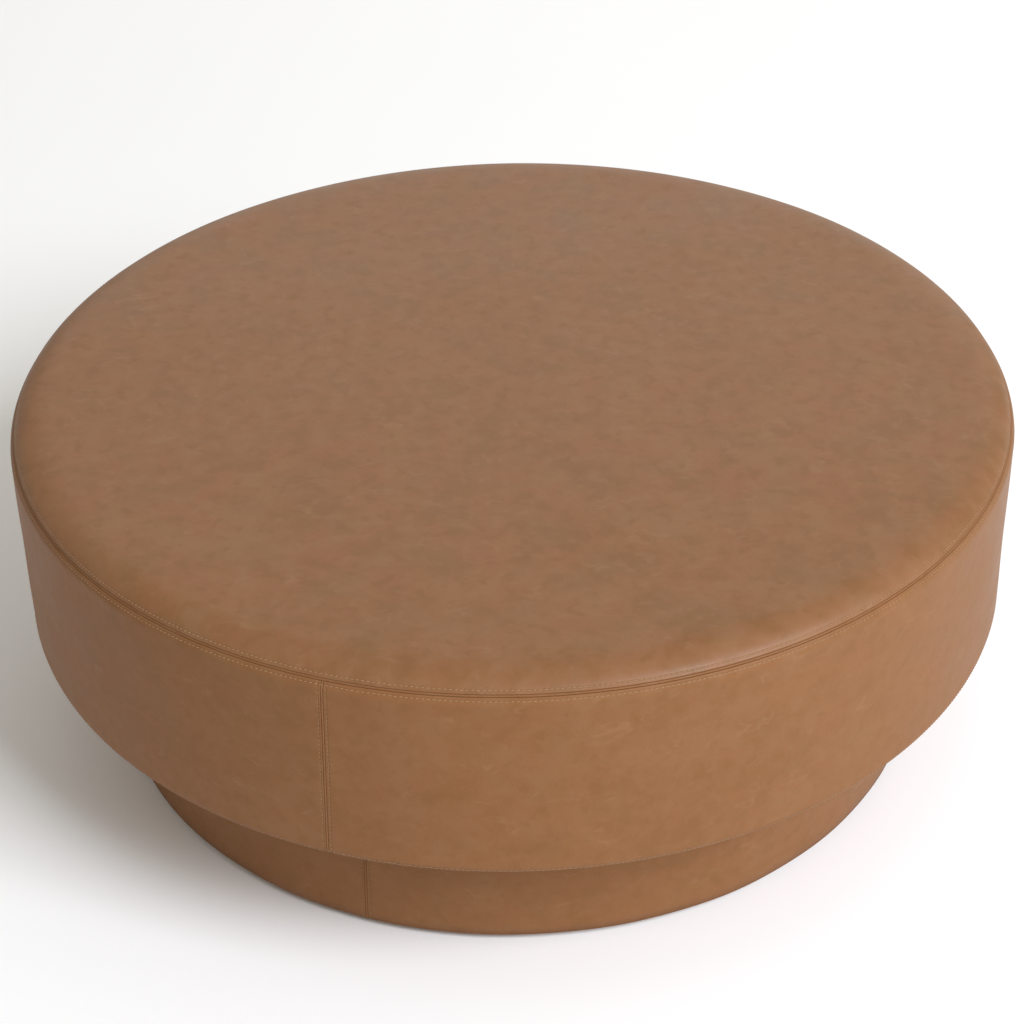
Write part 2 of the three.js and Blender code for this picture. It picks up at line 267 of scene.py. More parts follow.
def path_frame(path, distance):
    """Points and outward normals of a [radius, height] path at distances along it: both coordinates
    against the running length, and the slope turned a quarter turn to the left."""
    run = running_length(path)
    slope = np.gradient(path, run, axis=0)
    slope /= np.linalg.norm(slope, axis=1)[:, None]
    point, along = (
        as_points(*(np.interp(distance, run, column) for column in way.T)) for way in (path, slope)
    )
    along /= np.linalg.norm(along, axis=-1)[..., None]
    return point, as_points(-along[..., 1], along[..., 0])


def ripples(x, y, wavelength, seed, waves=9):
    """Slow waves over a surface: a sum of plane sine waves whose directions, lengths and phases are
    drawn from a seeded generator, divided by the square root of half their number."""
    draw = np.random.default_rng(seed)
    heading = draw.uniform(0, FULL_TURN, waves)
    number = FULL_TURN / (wavelength * draw.uniform(0.7, 1.5, waves))
    phase = draw.uniform(0, FULL_TURN, waves)
    total = np.zeros(np.broadcast(x, y).shape)
    for turn, rate, start in zip(heading, number, phase):
        total += np.sin(rate * (x * np.cos(turn) + y * np.sin(turn)) + start)
    return total / math.sqrt(waves / 2)


def slack(x, y, wavelength, seed):
    """The relief of a cover: ripples of the chosen height, lowered until hardly any rise above its path."""
    return user_settings()[0].ripple * (ripples(x, y, wavelength, seed) - RIPPLE_CREST)


def edge_depth(distance, sewing, row):
    """How deep leather lies below its path at a distance from a seam whose stitches are a row away from
    its middle: a quarter circle that rolls into the seam, a bell-shaped groove under the stitches, and
    a slow settling towards the seam. A row of 0 is an edge that isn't sewn, which stays level."""
    if row == 0:
        return np.zeros_like(distance)
    groove_width, settling_width = 0.9 * MM, 7 * MM
    inside = np.clip(sewing.roll - distance, 0, sewing.roll)
    rolled = sewing.roll - np.sqrt(sewing.roll**2 - inside**2)
    groove = sewing.groove * np.exp(-(((distance - row + sewing.welt / 2) / groove_width) ** 2))
    settling = 0.5 * sewing.groove * np.exp(-distance / settling_width)
    return rolled + groove + settling


def across_panel(length, sewing, first_row, last_row, coarse=12 * MM):
    """Distances across a panel and the leather's depth there. Each edge has its row of stitches, or 0 if
    it isn't sewn. Steps are fine over the roll and the stitches of a sewn edge, then grow to the
    coarse step. A sewn edge ends in a tuck straight down. The number of steps is a multiple of the
    inner surface's step."""
    fine, growth, stitched_width = 0.55 * MM, 1.35, 7.5 * MM
    rolled = sewing.roll * (1 - np.cos(np.linspace(0, QUARTER_TURN, 6)))
    stitched = np.arange(sewing.roll + fine, stitched_width, fine)
    steps = fine * growth ** np.arange(1, math.ceil(math.log(coarse / fine) / math.log(growth)))
    sewn_side = np.concatenate([rolled, stitched, stitched[-1] + np.cumsum(steps)])
    first = sewn_side if first_row else np.zeros(1)
    last = sewn_side if last_row else np.zeros(1)
    middle = length - first[-1] - last[-1]
    tucks = bool(first_row) + bool(last_row)
    count = max(2, math.ceil(middle / coarse))
    count += -(first.size + last.size + tucks + count - 2) % INNER_STEP
    between = first[-1] + middle * np.arange(1, count) / count
    distance = np.concatenate([first, between, length - last[::-1]])
    depth = edge_depth(distance, sewing, first_row) + edge_depth(length - distance, sewing, last_row)
    tuck = sewing.roll + 1.2 * MM
    if first_row:
        distance, depth = np.insert(distance, 0, 0), np.insert(depth, 0, depth[0] + tuck)
    if last_row:
        distance, depth = np.append(distance, length), np.append(depth, depth[-1] + tuck)
    return distance, depth


# ---------------------------------------------------------------- meshes


def numbered(rows, columns):
    """The vertex numbers of a grid."""
    return np.arange(rows * columns).reshape(rows, columns)


def grid_quads(numbers, closed_rows, closed_columns):
    """Faces of a grid of vertex numbers, closed or open either way."""
    if closed_rows:
        numbers = np.concatenate([numbers, numbers[:1]])
    if closed_columns:
        numbers = np.concatenate([numbers, numbers[:, :1]], axis=1)
    corners = numbers[:-1, :-1], numbers[1:, :-1], numbers[1:, 1:], numbers[:-1, 1:]
    return as_points(*corners).reshape(-1, 4)


def tube_faces(rings, sides):
    """Faces of a row of rings of vertices, closed at both ends."""
    numbers = numbered(rings, sides)
    return [grid_quads(numbers, False, True), numbers[:1, ::-1], numbers[-1:]]


def fan(apex, ring):
    """Triangles from one vertex number to a closed ring of them."""
    return as_points(apex, ring, np.roll(ring, -1))


def cap_between(fine, coarse):
    """Triangles between a fine edge and a coarse one with a quarter of its steps: each coarse step takes
    a fan of four fine steps and one triangle of its own."""
    start = INNER_STEP * np.arange(coarse.size - 1)
    fans = [as_points(coarse[:-1], fine[start + k + 1], fine[start + k]) for k in range(INNER_STEP)]
    closing = as_points(coarse[:-1], coarse[1:], fine[start + INNER_STEP])
    return np.concatenate([*fans, closing])


def build_mesh(name, vertices, faces, uv, material, crease_shade=None):
    """A mesh object from arrays: vertices [n, 3], a list of face arrays [m, corners], a UV pair for each
    vertex and, for leather, its painted crease shade. Faces are turned over if they enclose a negative
    volume."""
    vertices = np.asarray(vertices, dtype=np.float64).reshape(-1, 3)
    triangles = np.concatenate([f[:, [0, k, k + 1]] for f in faces for k in range(1, f.shape[1] - 1)])
    corner = vertices[triangles]
    volume = np.einsum("ij,ij->i", corner[:, 0], np.cross(corner[:, 1], corner[:, 2])).sum()
    if volume < 0:
        faces = [f[:, ::-1] for f in faces]
    sizes = np.concatenate([np.full(len(f), f.shape[1]) for f in faces])
    corners = np.concatenate([f.ravel() for f in faces]).astype(np.int32)
    mesh = bpy.data.meshes.new(name)
    mesh.vertices.add(len(vertices))
    mesh.vertices.foreach_set("co", vertices.astype(np.float32).ravel())
    mesh.loops.add(len(corners))
    mesh.loops.foreach_set("vertex_index", corners)
    mesh.polygons.add(len(sizes))
    mesh.polygons.foreach_set("loop_start", (np.cumsum(sizes) - sizes).astype(np.int32))
    mesh.polygons.foreach_set("loop_total", sizes.astype(np.int32))
    mesh.polygons.foreach_set("use_smooth", np.ones(len(sizes), dtype=bool))
    mesh.update(calc_edges=True)
    layer = mesh.uv_layers.new(name="Hide")
    layer.data.foreach_set("uv", np.asarray(uv, dtype=np.float32).reshape(-1, 2)[corners].ravel())
    # Painted shade for the seam creases, kept as a point attribute for the leather's material.
    if crease_shade is not None:
        attribute = mesh.attributes.new("crease_shade", "FLOAT", "POINT")
        attribute.data.foreach_set("value", np.asarray(crease_shade, dtype=np.float32).ravel())
    mesh.validate()
    piece = bpy.data.objects.new(name, mesh)
    bpy.context.scene.collection.objects.link(piece)
    mesh.materials.append(material)
    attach(piece, BODY)
    return piece


def shell(name, outer, inner, uv, material, crease_shade, closed, poles):
    """A closed shell from an outer grid and an inner one with a quarter of its row steps. Rows join round
    the outer grid and back along the inner one. Open ends are capped by triangles between the two, and
    a pair of poles closes the first rows over the axis."""
    columns = outer.shape[1]
    outside = numbered(*outer.shape[:2])
    inside = outside.size + numbered(*inner.shape[:2])
    vertices = [outer.reshape(-1, 3), inner.reshape(-1, 3)]
    uvs = [uv.reshape(-1, 2), uv[::INNER_STEP].reshape(-1, 2)]
    crease_shades = [crease_shade.ravel(), crease_shade[::INNER_STEP].ravel()]
    faces = [grid_quads(np.concatenate([outside, inside[::-1]]), poles is None, closed)]
    if poles is not None:
        apex = outside.size + inside.size
        vertices.append(np.asarray(poles))
        uvs.append(np.zeros((2, 2)))
        crease_shades.append(np.zeros(2))
        faces += [fan(apex, outside[0]), fan(apex + 1, inside[0])[:, ::-1]]
    if not closed:
        faces.append(cap_between(outside[:, 0], inside[:, 0]))
        faces.append(cap_between(outside[:, -1], inside[:, -1])[:, ::-1])
    return build_mesh(
        name, np.concatenate(vertices), faces, np.concatenate(uvs), material, np.concatenate(crease_shades)
    )


def turned_piece(name, path, material, columns=240, wobble=None, crease_shade=None, centre=(0.0, 0.0)):
    """A solid turned about an upright axis from an open [radius, height] path whose two ends lie on the
    axis, or from a closed ring of points that stays clear of it. A wobble adds to the radius and the
    height, row by column, and a share of painted crease shade darkens each row of points."""
    on_axis = path[0, 0] < 1e-9
    ring = path[1:-1] if on_axis else path
    angle = around(columns)
    radius, height = ring[:, :1], ring[:, 1:]
    if wobble is not None:
        more_radius, more_height = wobble(radius, angle)
        radius, height = radius + more_radius, height + more_height
    points = polar(radius, angle, height).reshape(-1, 3)
    numbers = numbered(len(ring), columns)
    faces = [grid_quads(numbers, not on_axis, True)]
    if on_axis:
        apex = numbers.size
        points = np.concatenate([points, [[0, 0, path[0, 1]], [0, 0, path[-1, 1]]]])
        faces += [fan(apex, numbers[0]), fan(apex + 1, numbers[-1])[:, ::-1]]
    points = points + [*centre, 0.0]
    crease_shade = None if crease_shade is None else np.repeat(crease_shade, columns)
    return build_mesh(name, points, faces, points[:, :2], material, crease_shade)


def copies(name, template, faces, centre, along, up, material, template_uv):
    """Many copies of a small shape as one piece. The template's x, y and z go along each copy's own
    three directions: along, sideways and up."""
    axes = np.stack([along, np.cross(up, along), up], axis=1)
    points = centre[:, None, :] + np.einsum("kj,nji->nki", template, axes)
    offset = np.arange(len(centre))[:, None, None] * len(template)
    every = [(f[None] + offset).reshape(-1, f.shape[1]) for f in faces]
    uv = np.broadcast_to(template_uv, (len(centre), *template_uv.shape))
    return build_mesh(name, points, every, uv, material)


def cad_piece(piece, node):
    """Hides the CAD node that a piece stands for, and returns the piece."""
    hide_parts(node)
    return piece


# ---------------------------------------------------------------- shapes of the covers


def crown_path():
    """The top panel's path, from the axis out to its seam: level, then over a superellipse that stops
    just before it is upright."""
    width = user_settings()[0].shoulder_width
    stop, fullness = 3.5 * MM, 1.85
    turn = np.linspace(0, QUARTER_TURN, 400)
    equator = SEAM_HEIGHT - stop
    drop = TOP - equator
    reach = (1 - (stop / drop) ** fullness) ** (1 / fullness)
    centre = SEAM_RADIUS - width * reach
    bulge = 2 / fullness
    shoulder = as_points(centre + width * np.sin(turn) ** bulge, equator + drop * np.cos(turn) ** bulge)
    level = as_points(np.linspace(0, centre, 60)[:-1], TOP)
    above_seam = shoulder[:, 1] > SEAM_HEIGHT + 0.05 * MM
    return np.concatenate([level, shoulder[above_seam], [[SEAM_RADIUS, SEAM_HEIGHT]]])


def band_path():
    """The band's path, from the top seam down to the bottom seam: upright, and drawn in towards both
    seams as a power of the way into each."""
    top_bend, bottom_bend, bottom_draw = 12 * MM, 10 * MM, 3.5 * MM
    end = DRUM_BOTTOM + 1 * MM
    height = np.linspace(SEAM_HEIGHT, end, 400)
    into_top = np.clip((height - SEAM_HEIGHT) / top_bend + 1, 0, 1)
    into_bottom = fade(end + bottom_bend - height, bottom_bend)
    drawn_in = (DRUM_RADIUS - SEAM_RADIUS) * into_top**2 + bottom_draw * into_bottom**2.4
    return as_points(DRUM_RADIUS - 0.1 * MM - drawn_in, height)


def underside_path():
    """The underside ring's path, from the bottom seam in to a hole that the plinth covers: it rises to
    the level underside as a square."""
    start_radius, start_height = band_path()[-1]
    radius = np.linspace(start_radius, PLINTH_RADIUS - 22 * MM, 200)
    still_to_rise = (1 - fade(start_radius - radius, 9 * MM)) ** 2
    return as_points(radius, start_height - (start_height - DRUM_BOTTOM) * (1 - still_to_rise))


def plinth_path():
    """The plinth leather's path, from under the drum down to the floor end, round the lower edge and in
    underneath: two straight stretches joined by a quarter circle."""
    bend, hem = 3.5 * MM, 44 * MM
    turn = np.linspace(0, QUARTER_TURN, 16)[1:]
    wall = as_points(PLINTH_RADIUS, np.linspace(PLINTH_TOP, HEM_BOTTOM + bend, 200))
    corner = as_points(PLINTH_RADIUS - bend * (1 - np.cos(turn)), HEM_BOTTOM + bend * (1 - np.sin(turn)))
    under = as_points(np.linspace(PLINTH_RADIUS - bend, PLINTH_RADIUS - hem, 60)[1:], HEM_BOTTOM)
    return np.concatenate([wall, corner, under])


def leather_panel(
    name, node, number, path, distance, depth, angle, relief, uv, side_depth=None, pole=False
):
    """A leather panel on a path: the grid's point at a distance and an angle is the path's point, moved
    inwards along its normal by the depths of both edges and outwards by the relief. A panel without
    depths at its sides runs the whole way round."""
    leather, sewing = user_settings()
    closed = side_depth is None
    point, normal = path_frame(path, distance)
    sunk = depth[:, None] + (0 * angle if closed else side_depth)

    def surface(rows, below):
        radius = point[rows, :1] - normal[rows, :1] * below
        height = point[rows, 1:] - normal[rows, 1:] * below
        return polar(radius, leaning(angle, height), height)

    inner_rows = slice(None, None, INNER_STEP)
    outer = surface(slice(None), sunk - relief)
    inner = surface(inner_rows, sunk[inner_rows] + leather.thickness)
    # Painted shade: the deeper the leather sinks into a seam, the darker it is painted, as if shaded there.
    crease_shade = fade(sunk - 1.4 * sewing.groove, sewing.roll)
    poles = [outer[0].mean(axis=0), inner[0].mean(axis=0)] if pole else None
    piece = shell(name, outer, inner, uv, tan_leather(number), crease_shade, closed, poles)
    return cad_piece(piece, node)


def side_panels(name, node, number, path, radius, row):
    """Leather panels round a wall, each between two upright seams. A row of 0 leaves the level edges
    unsewn."""
    sewing = user_settings()[1]
    calm_edge = 25 * MM
    half_welt = sewing.welt / 2
    start = half_welt if row else 0.0
    length = running_length(path)[-1] - start - SEAM_GAP
    distance, depth = across_panel(length, sewing, row, row)
    width = FULL_TURN / PANELS * radius - sewing.welt
    along, side_depth = across_panel(width, sewing, sewing.upright_row, sewing.upright_row, coarse=9 * MM)
    down = distance[:, None]
    from_edge, from_side = np.minimum(down, length - down), np.minimum(along, width - along)
    calm = fade(from_edge, calm_edge) * fade(from_side, calm_edge)
    for i, turn in enumerate(SEAM_TURNS):
        relief = 0.6 * slack(along, down, wavelength=0.17, seed=31 + i) * calm
        piece = leather_panel(
            f"{name}_{i + 1}", f"{node}_{i + 1}", number + i, path, start + distance, depth,
            turn + (half_welt + along) / radius, relief, as_points(along, -down), side_depth,
        )


def welt_section(sides=20):
    """The outline of the strip in a seam, as distances across and up round an ellipse, and its painted
    shade there: none on its crown, dark where it dips into the seam, as if shaded."""
    welt = user_settings()[1].welt
    turn = around(sides)
    across, up = welt * 1.04 / 2 * np.cos(turn), welt / 2 * np.sin(turn)
    return across, up, fade(np.abs(across) / across.max() - 0.6, 0.4)


def upright_welt(name, path, radius, start, end, turn):
    """A strip in an upright seam: its section is carried down the path between two distances, across
    the seam and along the path's normal, and lies just below the path."""
    across, up, crease_shade = welt_section()
    up = up - user_settings()[1].welt / 2 - 0.1 * MM
    distance = np.linspace(start, end, 60)
    point, normal = path_frame(path, distance)
    reach = point[:, :1] + normal[:, :1] * up
    height = point[:, 1:] + normal[:, 1:] * up
    points = polar(reach, leaning(turn + across / radius, height), height)
    uv = as_points(across, -distance[:, None])
    crease_shade = np.broadcast_to(crease_shade, height.shape)
    piece = build_mesh(name, points, tube_faces(*height.shape), uv, tan_leather(WELT_HIDE), crease_shade)


# ---------------------------------------------------------------- sewing


def stitch_template():
    """One stitch: six-sided rings along a short bow whose ends dip into the leather. The bow's height is
    one minus the fourth power of the way to either end, and the rings thin as a half ellipse."""
    sewing = user_settings()[1]
    rings, sides = 7, 6
    share = np.sin(np.linspace(-QUARTER_TURN, QUARTER_TURN, rings))[:, None]
    thickness = sewing.thread / 2 * np.sqrt(np.clip(1 - share**6, 0, 1))
    thickness[[0, -1]] = 0.3 * sewing.thread / 2
    bow = 0.5 * sewing.thread * (0.62 - share**4)
    turn = around(sides)
    points = as_points(
        sewing.stitch_length / 2 * share, thickness * np.cos(turn), thickness * 0.85 * np.sin(turn) + bow
    )
    uv = as_points(4.0 * share, turn / FULL_TURN)
    return points.reshape(-1, 3), tube_faces(rings, sides), uv.reshape(-1, 2)


def sew(name, centre, along, up, pale, seed):
    """A row of stitches at the given places, each turned a little askew in the leather's surface."""
    draw = np.random.default_rng(seed)
    skew = (math.radians(5) + draw.normal(0, math.radians(2), len(centre)))[:, None]
    slanted = along * np.cos(skew) + np.cross(up, along) * np.sin(skew)
    points, faces, uv = stitch_template()
    piece = copies(name, points, faces, centre, slanted, up, thread(pale), uv)


def ring_row(name, path, distance, pale, seed):
    """A row of stitches the whole way round at a distance along a path, sunk into its groove."""
    sewing = user_settings()[1]
    point, normal = path_frame(path, np.array([distance]))
    radius, height = point[0] - normal[0] * 1.3 * sewing.groove
    angle = around(round(FULL_TURN * radius / sewing.pitch))
    along = polar(1.0, angle + QUARTER_TURN, 0.0)
    up = polar(normal[0, 0], angle, normal[0, 1])
    sew(name, polar(radius, angle, height), along, up, pale, seed)


def upright_rows(name, path, radius, start, end, turn, seed):
    """Two rows of stitches down both sides of an upright seam, sunk into their grooves."""
    sewing = user_settings()[1]
    count = math.floor((end - start) / sewing.pitch)
    distance = start + (np.arange(count) + 0.5) * (end - start) / count
    point, normal = path_frame(path, distance)
    slope = as_points(normal[:, 1], -normal[:, 0])
    point = point - normal * 1.45 * sewing.groove
    rows = []
    for side in (-1, 1):
        angle = leaning(turn + side * sewing.upright_row / radius, point[:, 1])
        rows.append([polar(way[:, 0], angle, way[:, 1]) for way in (point, slope, normal)])
    centre, along, up = (np.concatenate(parts) for parts in zip(*rows))
    sew(name, centre, along, up, pale=False, seed=seed)


# ---------------------------------------------------------------- padding


def slab(radius, bottom, top, bend):
    """A slab's path from the axis underneath, up its side and back to the axis, with a quarter-round
    top edge."""
    turn = np.linspace(0, QUARTER_TURN, 9)
    under = as_points(np.linspace(0, radius, 14), bottom)
    edge = as_points(radius - bend * (1 - np.cos(turn)), top - bend * (1 - np.sin(turn)))
    over = as_points(np.linspace(radius - bend, 0, 14)[1:], top)
    return np.concatenate([under, edge, over])


def blanket(outer, inner, bottom, ceiling, top):
    """A fibre layer's path: out under its level part, down inside its skirt, and back over the outside
    with a shoulder that is a quarter of an ellipse."""
    width, rise = 36 * MM, top - SEAM_HEIGHT + 3 * MM
    turn = np.linspace(0, QUARTER_TURN, 11)
    under = as_points(np.linspace(0, inner - 17 * MM, 14), ceiling)
    inside = [[inner, ceiling - 16.5 * MM], [inner, bottom], [outer - 4 * MM, bottom]]
    skirt = [[outer, bottom + 4 * MM], [outer - 2.5 * MM, SEAM_HEIGHT - 8 * MM]]
    shoulder = as_points(
        SEAM_RADIUS - 6 * MM - width * (1 - np.cos(turn)), SEAM_HEIGHT - 4 * MM + rise * np.sin(turn)
    )
    over = as_points(np.linspace(shoulder[-1, 0], 0, 16)[1:], top - 1 * MM)
    return np.concatenate([under, inside, skirt, shoulder, over])


def lumps(depth, wavelength, seed):
    """A wobble that lowers a turned piece's points by a depth, give or take half of the ripples."""

    def wobble(radius, angle):
        return 0.0, -depth * (1 + 0.5 * ripples(*from_above(radius, angle), wavelength, seed))

    return wobble


def half_wall(name, node, side, material, thickness):
    """Half a turn of padding round a wall: a section with two quarter-round edges, carried through half
    a circle, with its outside waving slightly."""
    bottom, top = low(node).z, high(node).z
    outer = (high(node).y - low(node).y) / 2 - 0.2 * MM
    inner = outer - thickness
    bend = thickness / 2.2
    turn = np.concatenate([np.linspace(-QUARTER_TURN, 0, 5), np.linspace(0, QUARTER_TURN, 5)])
    level = np.repeat([bottom + bend, top - bend], 5)
    outside = as_points(outer - bend + bend * np.cos(turn), level + bend * np.sin(turn))
    section = np.concatenate([outside, [[inner, top], [inner, bottom]]])
    radius, height = section[:, :1], section[:, 1:]
    first = math.pi if side == "left" else 0.0
    gap = 0.001
    angle = np.linspace(first + gap, first + math.pi - gap, 180)
    wave = 0.3 * MM * np.sin(7 * angle + 1.3) * np.sin(3 * angle)
    points = polar(np.where(radius > inner + 0.1 * MM, radius - np.abs(wave), radius), angle, height)
    numbers = numbered(len(section), angle.size)
    faces = [grid_quads(numbers, True, False), numbers[:, :1].T, numbers[::-1, -1:].T]
    return build_mesh(name, points, faces, as_points(outer * angle, height), material)


# ---------------------------------------------------------------- materials


def add_node(tree, kind, inputs=None, **details):
    """A shader node with its details, and its inputs either set or linked from other sockets."""
    made = tree.nodes.new(kind)
    for key, value in details.items():
        setattr(made, key, value)
    for key, value in (inputs or {}).items():
        if isinstance(value, bpy.types.NodeSocket):
            tree.links.new(value, made.inputs[key])
        else:
            made.inputs[key].default_value = value
    return made


def new_material(name, roughness=0.5, specular=0.5, metallic=0.0):
    """A material whose shader's constants are set on its own sockets."""
    material = bpy.data.materials.new(name)
    material.use_nodes = True
    inputs = material.node_tree.nodes["Principled BSDF"].inputs
    inputs["Roughness"].default_value = roughness
    inputs["Specular IOR Level"].default_value = specular
    inputs["Metallic"].default_value = metallic
    return material


def wire(material, colour, normal=None, roughness=None):
    """Links a colour, and a normal and a roughness if there are any, to a material's shader."""
    inputs = material.node_tree.nodes["Principled BSDF"].inputs
    for key, value in (("Base Color", colour), ("Normal", normal), ("Roughness", roughness)):
        if value is not None:
            material.node_tree.links.new(value, inputs[key])
    return material


def rgba(colour, share=1.0):
    """A colour, darkened to a share of itself, with full opacity."""
    return (*(share * c for c in colour), 1.0)


def hide_place(tree):
    """Coordinates from a piece's own UV map."""
    return add_node(tree, "ShaderNodeUVMap", uv_map="Hide").outputs[0]


def object_place(tree):
    """Coordinates in a piece's own space."""
    return add_node(tree, "ShaderNodeTexCoord").outputs["Object"]


def scaled(tree, coordinates, scale, offset=(0, 0, 0)):
    """Coordinates scaled along each axis, and offset."""
    inputs = {"Vector": coordinates, "Scale": scale, "Location": offset}
    return add_node(tree, "ShaderNodeMapping", inputs).outputs[0]


def noise(tree, coordinates, scale, detail=3.0, roughness=0.5, distortion=0.0):
    """Noise from 0 to 1 about a middle of 0.5."""
    inputs = {"Vector": coordinates, "Scale": scale, "Detail": detail, "Roughness": roughness}
    return add_node(tree, "ShaderNodeTexNoise", {**inputs, "Distortion": distortion}).outputs["Fac"]


def bands(tree, coordinates, scale, direction):
    """Bands of light and dark, from 0 to 1."""
    inputs = {"Vector": coordinates, "Scale": scale, "Distortion": 0.0}
    wave = add_node(tree, "ShaderNodeTexWave", inputs, wave_type="BANDS", bands_direction=direction)
    return wave.outputs["Fac"]


def cells(tree, coordinates, scale, randomness):
    """The distance to the nearest of many scattered points."""
    inputs = {"Vector": coordinates, "Scale": scale, "Randomness": randomness}
    return add_node(tree, "ShaderNodeTexVoronoi", inputs).outputs["Distance"]


def stretch(tree, value, start, end, to_start=0.0, to_end=1.0):
    """A value's range from start to end, spread smoothly over another range."""
    inputs = {"Value": value, "From Min": start, "From Max": end, "To Min": to_start, "To Max": to_end}
    return add_node(tree, "ShaderNodeMapRange", inputs, interpolation_type="SMOOTHSTEP").outputs["Result"]


def mix(tree, share, first, second):
    """Two colours mixed by a share."""
    share_input, first_input, second_input, colour_output = 0, 6, 7, 2
    inputs = {share_input: share, first_input: first, second_input: second}
    return add_node(tree, "ShaderNodeMix", inputs, data_type="RGBA").outputs[colour_output]


def maths(tree, operation, first, second=0.0):
    """Two numbers joined by a sum, product or other operation."""
    return add_node(tree, "ShaderNodeMath", {0: first, 1: second}, operation=operation).outputs[0]


def bump(tree, height, distance, below=None):
    """A bumped normal from heights from 0 to 1, of the given depth, on top of another if there is one."""
    inputs = {"Height": height, "Distance": distance, "Strength": 1.0}
    if below is not None:
        inputs["Normal"] = below
    return add_node(tree, "ShaderNodeBump", inputs).outputs[0]


RUSSET, OLIVE = (0.236, 0.097, 0.041), (0.209, 0.106, 0.045)
SCUFF, SPOT, SEAM_SHADE = (0.34, 0.2, 0.11), (0.135, 0.056, 0.027), (0.09, 0.032, 0.014)


def leather_material(name, shift, gloss, mottle, patch_scale):
    """Distressed pull-up leather: soft clouds and patches of umber and honey, whose strength is the
    mottle, short pale streaks, small dark spots, painted shade in the seam creases, and a pebbled grain.
    The patch scale is roughly how many patches there are in a metre."""
    leather = user_settings()[0]
    material = new_material(name, specular=gloss)
    tree = material.node_tree
    hide = hide_place(tree)
    place = scaled(tree, hide, (1.0, 1.0, 1.0), (shift, 0.37 * shift, 0))
    drawn_out = scaled(tree, hide, (0.6, 1.0, 1.0), (0.61 * shift, shift, 0))
    clouds = noise(tree, place, 8, 4, 0.6)
    patches = noise(tree, place, patch_scale, 4, 0.55, 0.25)
    tone = maths(tree, "ADD", maths(tree, "MULTIPLY", clouds, 0.45), maths(tree, "MULTIPLY", patches, 0.55))
    hue = noise(tree, place, 0.8 * patch_scale, 4, 0.6, 0.2)
    flecks = noise(tree, place, 2.4 * patch_scale, 4, 0.55, 0.3)
    ridge = maths(tree, "ABSOLUTE", maths(tree, "SUBTRACT", noise(tree, drawn_out, 34, 2, 0.5, 0.35), 0.5))
    sparse = stretch(tree, noise(tree, drawn_out, 30, 3, 0.6), 0.54, 0.66)
    streaks = maths(tree, "MULTIPLY", stretch(tree, ridge, 0.04, 0.0), sparse)
    crease_shade = add_node(tree, "ShaderNodeAttribute", attribute_name="crease_shade").outputs["Fac"]

    def marked(colour, value, start, full, strength, mark):
        """A colour with marks that start to show at one value and are at full strength at another."""
        return mix(tree, stretch(tree, value, start, full, 0.0, strength), colour, rgba(mark))

    colour = marked(rgba(leather.tan), tone, 0.50, 0.40, 0.65 * mottle, leather.umber)
    colour = marked(colour, tone, 0.50, 0.60, 0.7 * mottle, leather.honey)
    colour = marked(colour, hue, 0.50, 0.62, 0.35 * mottle, RUSSET)
    colour = marked(colour, hue, 0.50, 0.38, 0.35 * mottle, OLIVE)
    colour = marked(colour, flecks, 0.48, 0.34, 0.5 * mottle, leather.umber)
    colour = marked(colour, flecks, 0.52, 0.66, 0.5 * mottle, leather.honey)
    colour = mix(tree, maths(tree, "MULTIPLY", streaks, 0.16), colour, rgba(SCUFF))
    colour = marked(colour, noise(tree, place, 60, 3, 0.6), 0.64, 0.74, 0.2, SPOT)
    # Painted shade: darkened towards SEAM_SHADE where the leather dips into a seam.
    colour = marked(colour, crease_shade, 0.2, 0.9, 0.17, SEAM_SHADE)
    pebbles = bump(tree, cells(tree, hide, 560.0, 1.0), 0.05 * MM)
    wrinkles = bump(tree, noise(tree, place, 120, 4, 0.6), 0.2 * MM, pebbles)
    return wire(material, colour, wrinkles, stretch(tree, tone, 0.35, 0.65, 0.42, 0.52))


def thread_material(name, colour):
    """Waxed thread: its plies show as slanting bands along each stitch."""
    material = new_material(name, roughness=0.5, specular=0.3)
    tree = material.node_tree
    plies = bands(tree, hide_place(tree), 1.0, "DIAGONAL")
    return wire(material, mix(tree, plies, rgba(colour, 0.8), rgba(colour)), bump(tree, plies, 0.1 * MM))


def wood_material(name, light, dark, grain, plies=None):
    """Wood with its grain along one axis: long streaks of noise, and where it is plywood, thin layers
    across another axis that turn lighter and darker in turn."""
    material = new_material(name, roughness=0.62, specular=0.3)
    tree = material.node_tree
    place = object_place(tree)
    long_way = [14.0, 14.0, 14.0]
    long_way[grain] = 0.9
    streaks = noise(tree, scaled(tree, place, long_way), 6, 6, 0.6, 0.4)
    pores = noise(tree, scaled(tree, place, [6 * s for s in long_way]), 9, 3)
    colour = mix(tree, stretch(tree, streaks, 0.3, 0.7), rgba(dark), rgba(light))
    colour = mix(tree, stretch(tree, pores, 0.62, 0.72, 0.0, 0.35), colour, rgba(dark, 0.6))
    if plies is not None:
        across = [0.0, 0.0, 0.0]
        across[plies] = 1.0
        layers = bands(tree, scaled(tree, place, across), 88.0, "XYZ"[plies])
        colour = mix(tree, stretch(tree, layers, 0.3, 0.7, 0.0, 0.3), colour, rgba(dark, 0.5))
    return wire(material, colour, bump(tree, streaks, 0.15 * MM))


def foam_material(name, light, dark, scale, depth):
    """Open foam or fibre: fine noise for its pores or strands."""
    material = new_material(name, roughness=0.95, specular=0.1)
    tree = material.node_tree
    pores = noise(tree, object_place(tree), scale, 4, 0.7)
    colour = mix(tree, stretch(tree, pores, 0.3, 0.6), rgba(dark), rgba(light))
    return wire(material, colour, bump(tree, pores, depth))


